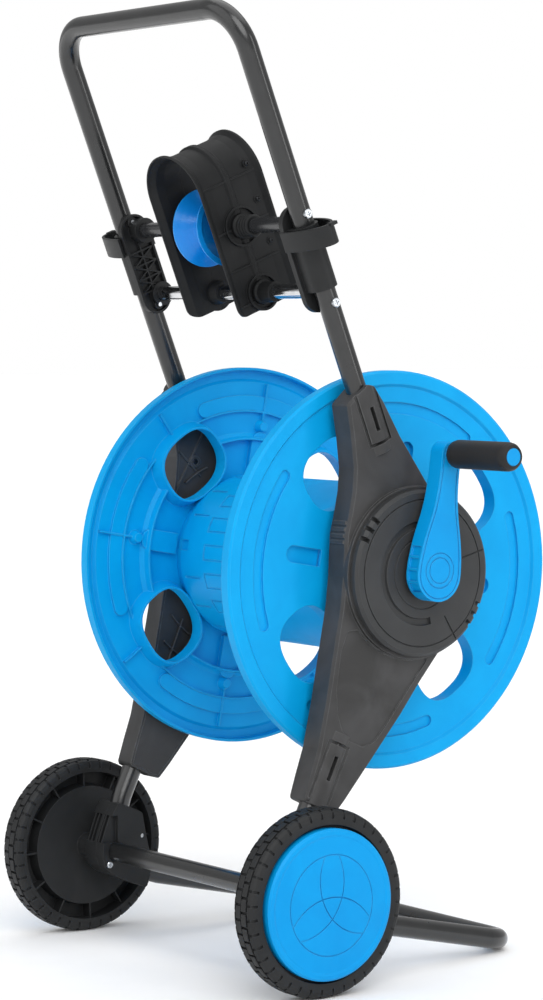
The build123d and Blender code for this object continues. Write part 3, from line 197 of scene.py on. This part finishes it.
# BLUE_EDGE is the pale edge colour of the blue parts: partly wear, partly a painted edge
# highlight.
BLUE, BLUE_CLOUD, BLUE_EDGE = "#0099DA", "#02A0E0", "#6ACDF4"
finishes["reel_blue"] = moulded("satin_blue_polypropylene_reel", BLUE, BLUE_CLOUD, BLUE_EDGE,
                                gloss=(0.36, 0.48), grain_mm=1.2, grain=0.18, edge_mm=1.2,
                                rub_and_highlight=0.6, specular=0.14)
finishes["crank_blue"] = moulded("satin_blue_polypropylene_crank", "#008ED2", "#0095D8",
                                 BLUE_EDGE, gloss=(0.32, 0.42), grain=0.15, edge_mm=1.0,
                                 rub_and_highlight=0.6, specular=0.16)
finishes["roller_blue"] = moulded("glossy_blue_acetal_roller", "#0A86DC", "#0C8CE0",
                                  BLUE_EDGE, gloss=(0.18, 0.28), grain=0.08, edge_mm=0.6,
                                  specular=0.4)
finishes["hubcap_blue"] = moulded("satin_blue_polypropylene_hubcap", "#008ED2", "#0095D8",
                                  BLUE_EDGE, gloss=(0.36, 0.46), grain_mm=1.2, grain=0.18,
                                  edge_mm=0.8, rub_and_highlight=0.6, specular=0.14)
print("plastics:", len(finishes))

# %% [markdown]
# ## Powder-coated tube
# The handle and foot are steel tube with a baked powder coat. Powder melts into a skin that
# is never quite flat: it keeps a shallow orange-peel ripple about 2 mm across, and a gloss
# that shows long soft highlights along the tube. Noise of that size drives a weak bump, and a
# thin coat layer gives the sharper highlight of the resin over the pigment.


# %% A recipe for powder coat
def powder_coat(name, colour, mottled, gloss):
    """Baked powder: dark grey pigment with orange-peel ripple under a thin clear skin."""
    made, tree, shader, place = new_material(name)
    tint = add(tree, "ShaderNodeTexNoise", {"Scale": per_metre(14), "Detail": 4.0},
               {"Vector": place})
    tree.links.new(ramp(tree, tint.outputs["Fac"], [(0.35, colour), (0.7, mottled)]),
                   shader.inputs["Base Color"])
    peel = add(tree, "ShaderNodeTexNoise", {"Scale": per_metre(2.2), "Detail": 1.0},
               {"Vector": place})
    bump = add(tree, "ShaderNodeBump", {"Strength": 0.16, "Distance": 0.0003},
               {"Height": peel.outputs["Fac"]})
    tree.links.new(bump.outputs["Normal"], shader.inputs["Normal"])
    haze = add(tree, "ShaderNodeTexNoise", {"Scale": per_metre(30), "Detail": 3.0},
               {"Vector": place})
    tree.links.new(spread(tree, haze.outputs["Fac"], *gloss), shader.inputs["Roughness"])
    shader.inputs["Coat Weight"].default_value = 0.5
    shader.inputs["Coat Roughness"].default_value = 0.15
    return made


finishes["tube_paint"] = powder_coat("dark_grey_powder_coated_steel", "#141516", "#1A1B1C",
                                     (0.24, 0.34))
finishes["rod_paint"] = powder_coat("dark_grey_lacquered_rod", "#232426", "#2A2B2D",
                                    (0.20, 0.30))
print("painted finishes ready")

# %% [markdown]
# ## Plated steel
# The lower guide rod is chromed after grinding, so it mirrors the room and carries very fine
# scratches round its length. Most screws are zinc plated, which leaves a brighter, cloudier
# skin with a faint blue passivation. The panel and guide screws are blackened instead. All are
# metals, so colour sits in the reflection and the index of refraction stays at its default.


# %% A recipe for plated steel
def plated(name, colour, clouded, gloss, cloud_mm, scratch):
    """Plated metal: clouded reflection colour, uneven gloss and fine grinding scratches."""
    made, tree, shader, place = new_material(name)
    shader.inputs["Metallic"].default_value = 1.0
    tint = add(tree, "ShaderNodeTexNoise", {"Scale": per_metre(cloud_mm), "Detail": 4.0},
               {"Vector": place})
    tree.links.new(ramp(tree, tint.outputs["Fac"], [(0.3, colour), (0.75, clouded)]),
                   shader.inputs["Base Color"])
    tree.links.new(spread(tree, tint.outputs["Fac"], *gloss), shader.inputs["Roughness"])
    squeezed = add(tree, "ShaderNodeMapping", {"Scale": (1.0, 0.05, 0.05)},
                   {"Vector": place})
    marks = add(tree, "ShaderNodeTexNoise", {"Scale": per_metre(0.5), "Detail": 2.0},
                {"Vector": squeezed.outputs["Vector"]})
    bump = add(tree, "ShaderNodeBump", {"Strength": scratch, "Distance": 0.0001},
               {"Height": marks.outputs["Fac"]})
    tree.links.new(bump.outputs["Normal"], shader.inputs["Normal"])
    return made


finishes["rod_chrome"] = plated("ground_chromed_steel_rod", "#D9DADC", "#C4C6C9",
                                (0.08, 0.16), 12, 0.08)
finishes["zinc_steel"] = plated("zinc_plated_steel_screw", "#C9CDD2", "#AEB2B6",
                                (0.22, 0.36), 3, 0.15)
finishes["black_screw"] = plated("blackened_steel_screw", "#3B3C3E", "#2C2D2F",
                                 (0.30, 0.45), 2, 0.15)
print("plated finishes ready")

# %% [markdown]
# ## Seal rubber
# The sealing ring in the water way is nitrile rubber: black, matt and slightly dusty from the
# mould. It barely shows, and a high roughness with a fine grain is all it needs.

# %% Rubber
finishes["seal_rubber"] = moulded("matt_nitrile_rubber", "#141414", "#1B1B1B", "#2A2A2A",
                                  gloss=(0.70, 0.85), grain_mm=0.6, grain=0.3, edge_mm=0.2)

# %% [markdown]
# ## Giving the frame its finishes
# The record names a material slot for every piece. Each slot has one finish, so the frame is
# dressed by looking the slot up and putting the finish into the piece's own material slot.

# %% Dress the frame
slots = {part["node"]: part["material_slot"] for part in frame["record"]["subparts"]}
for name, piece in nodes.items():
    finish = finishes[slots[name]]
    if not piece.material_slots:
        piece.data.materials.append(finish)
    for place in piece.material_slots:
        place.material = finish
print("dressed", len(nodes), "pieces in", len(finishes), "finishes")

# %% [markdown]
# ## Stiffening ribs on the panel covers
# The covers that close the side panels towards the reel are thin plates, so they carry low
# ribs: arcs that follow the reel round its shaft, and straight ones out along the arms. They
# could be cut from the plate, extruded one by one, or swept. A sweep suits them best, because
# one low rounded section moved along a path gives both the arcs and the straight lengths, and
# numpy computes every ring of the sweep at once. Low collars round the screw bosses are the
# same kind of section turned about a line instead.


# %% Functions for swept and turned surfaces
MM = 0.001
REEL_CENTRE = np.array([19.45, 381.2])  # Y and Z of the reel axis in the frame
COVER_FACE = 135.6                      # cover face from the cart's middle plane
MIDDLE_X = -33.45                       # that plane in the frame
AXLE_PLACE = np.array([-122.65, 0.0])   # Y and Z of the point below the wheel axle
FOOT_DEPTH = -0.1                       # a section's feet sink this share of its height


def new_piece(name, points, faces, side):
    """A mesh object at the origin from points in mm measured from the cart's middle plane.

    Every point goes to x = middle + side * x, so the same points serve both sides, and the
    faces are turned round on the mirrored side to keep them facing outwards."""
    placed = np.array(points, dtype=float)
    placed[:, 0] = MIDDLE_X + side * placed[:, 0]
    made = bpy.data.meshes.new(name)
    ordered = [list(face) if side > 0 else list(face)[::-1] for face in faces]
    made.from_pydata((placed * MM).tolist(), [], ordered)
    made.update()
    piece = bpy.data.objects.new(name, made)
    bpy.context.scene.collection.objects.link(piece)
    print(name, len(made.vertices), "points", len(made.polygons), "faces")
    return piece


def swept_rib(path, half_width, height):
    """Points and faces of one rib: at each path point the section is the point plus t times
    the path's sideways direction, raised by h, for a flat-topped section with rounded
    shoulders. The path lies in the YZ plane and the rib rises towards the reel."""
    path = np.asarray(path, dtype=float)
    along = np.gradient(path, axis=0)
    along = along / np.linalg.norm(along, axis=1, keepdims=True)
    sideways = np.stack([-along[:, 1], along[:, 0]], axis=1)
    across = np.array([-1.0, -1.0, -0.72, 0.0, 0.72, 1.0, 1.0]) * half_width
    raised = np.array([FOOT_DEPTH, 0.62, 0.93, 1.0, 0.93, 0.62, FOOT_DEPTH]) * height
    ring = path[:, None, :] + sideways[:, None, :] * across[None, :, None]
    depth = np.broadcast_to(COVER_FACE - raised, ring.shape[:2])
    points = np.concatenate([depth[..., None], ring], axis=2).reshape(-1, 3)
    count, step = len(path), len(across)
    i, j = np.meshgrid(np.arange(count - 1), np.arange(step), indexing="ij")
    k = (j + 1) % step
    quads = np.stack([i * step + j, i * step + k, (i + 1) * step + k, (i + 1) * step + j],
                     axis=-1).reshape(-1, 4)
    ends = [list(range(step))[::-1], [(count - 1) * step + m for m in range(step)]]
    return points, quads.tolist() + ends


def arc_path(radius, middle, half_angle, count=25):
    """Points at one radius from the reel axis, between two angles in degrees."""
    turn = np.radians(np.linspace(middle - half_angle, middle + half_angle, count))
    return REEL_CENTRE + radius * np.stack([np.cos(turn), np.sin(turn)], axis=1)


def line_path(start, end, count=9):
    """Evenly spaced points from start to end, both measured from the wheel axle."""
    share = np.linspace(0.0, 1.0, count)[:, None]
    first = AXLE_PLACE + start
    last = AXLE_PLACE + end
    return first * (1.0 - share) + last * share


def collar(centre, inner, outer, height, count=40):
    """A low ring: each section point is turned once round the centre, so y and z are the
    centre plus its radius times the cosine and sine of the turn."""
    turn = np.linspace(0.0, 2 * np.pi, count, endpoint=False)
    radius = np.array([inner, inner, inner + 0.5, outer - 0.5, outer, outer])
    raised = np.array([FOOT_DEPTH, 0.7, 1.0, 1.0, 0.7, FOOT_DEPTH]) * height
    at = AXLE_PLACE + centre
    y = at[0] + radius[None, :] * np.cos(turn)[:, None]
    z = at[1] + radius[None, :] * np.sin(turn)[:, None]
    x = np.broadcast_to(COVER_FACE - raised, y.shape)
    points = np.stack([x, y, z], axis=-1).reshape(-1, 3)
    step = len(radius)
    i, j = np.meshgrid(np.arange(count), np.arange(step), indexing="ij")
    k, n = (j + 1) % step, (i + 1) % count
    quads = np.stack([i * step + j, n * step + j, n * step + k, i * step + k], axis=-1)
    return points, quads.reshape(-1, 4).tolist()


def together(parts):
    """Joins several point and face lists into one, moving the face numbers along."""
    points, faces, shift = [], [], 0
    for some_points, some_faces in parts:
        points.append(some_points)
        faces += [[shift + corner for corner in face] for face in some_faces]
        shift += len(some_points)
    return np.concatenate(points), faces


# %% Ribs and collars
RIB_HEIGHT = 3.2
RIB_HALF = 0.9
LOW_RIB_HALF = 0.8
LOW_RIB_HEIGHT = RIB_HEIGHT - 0.6
COLLAR_SIZE = (2.8, 6.2, 1.8)           # inner radius, outer radius and height
BOSSES = ((94.0, 477.0), (90.0, 232.0))  # screw bosses from the wheel axle
ARCS = ((97.0, 239.0, 22.0), (121.0, 239.0, 15.0), (96.0, 120.0, 9.0))
LINES = (((101.0, 309.0), (72.0, 255.0)), ((78.0, 318.0), (58.0, 272.0)))
rib_parts = [swept_rib(arc_path(*arc), RIB_HALF, RIB_HEIGHT) for arc in ARCS]
rib_parts += [swept_rib(line_path(*ends), LOW_RIB_HALF, LOW_RIB_HEIGHT) for ends in LINES]
collar_parts = [collar(boss, *COLLAR_SIZE) for boss in BOSSES]
rib_points, rib_faces = together(rib_parts)
collar_points, collar_faces = together(collar_parts)
for side_name, side in (("left", -1), ("right", 1)):
    ribs = new_piece("cover_ribs_" + side_name, rib_points, rib_faces, side)
    collars = new_piece("boss_collars_" + side_name, collar_points, collar_faces, side)
    for piece in (ribs, collars):
        piece.data.materials.append(finishes["panel_black"])
        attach(piece, "frame")

# %% [markdown]
# ## A plain studio
# The cart stands on a pale floor under soft light. A wide distant light from the crank side
# models the shapes, weaker ones fill from the front and from above, a tall strip draws the long
# highlights on the tubes, and a white surround keeps the shadows open. The camera stands about
# three metres off and 0.6 m up with a long lens, which keeps both reel flanges nearly the
# same size.

# %% Floor
FLOOR_HALF = 30.0
FLOOR_CELLS = 12
ROW = FLOOR_CELLS + 1
marks = np.linspace(-FLOOR_HALF, FLOOR_HALF, ROW)
floor_x, floor_y = np.meshgrid(marks, marks, indexing="ij")
floor_points = np.stack([floor_x, floor_y, np.zeros_like(floor_x)], axis=-1).reshape(-1, 3)
steps = np.arange(FLOOR_CELLS)
cell = (steps[:, None] * ROW + steps[None, :]).reshape(-1)
floor_faces = np.stack([cell, cell + ROW, cell + ROW + 1, cell + 1], axis=-1)
floor_mesh = bpy.data.meshes.new("studio_floor")
floor_mesh.from_pydata(floor_points.tolist(), [], floor_faces.tolist())
floor = bpy.data.objects.new("studio_floor", floor_mesh)
bpy.context.scene.collection.objects.link(floor)
paper, tree, shader, place = new_material("matt_white_studio_paper")
fibres = add(tree, "ShaderNodeTexNoise", {"Scale": per_metre(40), "Detail": 3.0},
             {"Vector": place})
tree.links.new(ramp(tree, fibres.outputs["Fac"], [(0.3, "#FCFCFC"), (0.7, "#FEFEFE")]),
               shader.inputs["Base Color"])
shader.inputs["Roughness"].default_value = 0.9
floor_mesh.materials.append(paper)

# %% Light
SURROUND_LIGHT = 0.46   # what the surround gives the cart
SURROUND_SEEN = 1.0     # how bright it looks behind the cart
world = bpy.data.worlds.new("white_surround")
bpy.context.scene.world = world
world.use_nodes = True
sky = world.node_tree
sky.nodes.clear()
ray = add(sky, "ShaderNodeLightPath")
level = add(sky, "ShaderNodeMapRange", {"To Min": SURROUND_LIGHT, "To Max": SURROUND_SEEN},
            {"Value": ray.outputs["Is Camera Ray"]})
surround = add(sky, "ShaderNodeBackground", {"Color": linear("#FFFFFF")},
               {"Strength": level.outputs["Result"]})
add(sky, "ShaderNodeOutputWorld", wired={"Surface": surround.outputs["Background"]})


def soft_panel(name, at, target, width, height, power):
    """A rectangular area light at a point, facing a target, in metres and watts."""
    data = bpy.data.lights.new(name, "AREA")
    data.shape = "RECTANGLE"
    data.size = width
    data.size_y = height
    data.energy = power
    lamp = bpy.data.objects.new(name, data)
    lamp.location = at
    aim = Vector(target) - Vector(at)
    lamp.rotation_euler = aim.to_track_quat("-Z", "Y").to_euler()
    bpy.context.scene.collection.objects.link(lamp)
    return lamp


def far_light(name, toward, spread_degrees, strength):
    """A distant light as wide as spread_degrees, coming from the direction toward."""
    data = bpy.data.lights.new(name, "SUN")
    data.angle = math.radians(spread_degrees)
    data.energy = strength
    lamp = bpy.data.objects.new(name, data)
    lamp.rotation_euler = Vector(toward).to_track_quat("Z", "Y").to_euler()
    bpy.context.scene.collection.objects.link(lamp)
    return lamp


CHEST = (0.0, 0.0, 0.45)
far_light("key_light", (0.75, -0.35, 0.62), 50, 1.75)
far_light("fill_light", (-0.15, -0.9, 0.45), 60, 0.7)
far_light("top_light", (-0.1, 0.25, 1.0), 70, 1.0)
soft_panel("strip_light", (2.2, 1.4, 1.3), CHEST, 0.35, 1.8, 9)

# %% Camera
VIEW_AZIMUTH = math.radians(54.25)
VIEW_HEIGHT = math.radians(3.20)
CAMERA_PLACE = (2.46155, -1.82665, 0.616)
SENSOR_MM = 36.0
LENS_MM = 3.148 * SENSOR_MM
camera_data = bpy.data.cameras.new("studio_camera")
camera_data.sensor_width = SENSOR_MM
camera_data.lens = LENS_MM
camera_data.dof.use_dof = False
camera = bpy.data.objects.new("studio_camera", camera_data)
camera.location = CAMERA_PLACE
away = Vector((math.sin(VIEW_AZIMUTH) * math.cos(VIEW_HEIGHT),
               -math.cos(VIEW_AZIMUTH) * math.cos(VIEW_HEIGHT), math.sin(VIEW_HEIGHT)))
camera.rotation_euler = (-away).to_track_quat("-Z", "Y").to_euler()
bpy.context.scene.collection.objects.link(camera)
bpy.context.scene.camera = camera
bpy.context.scene.view_settings.view_transform = "Standard"
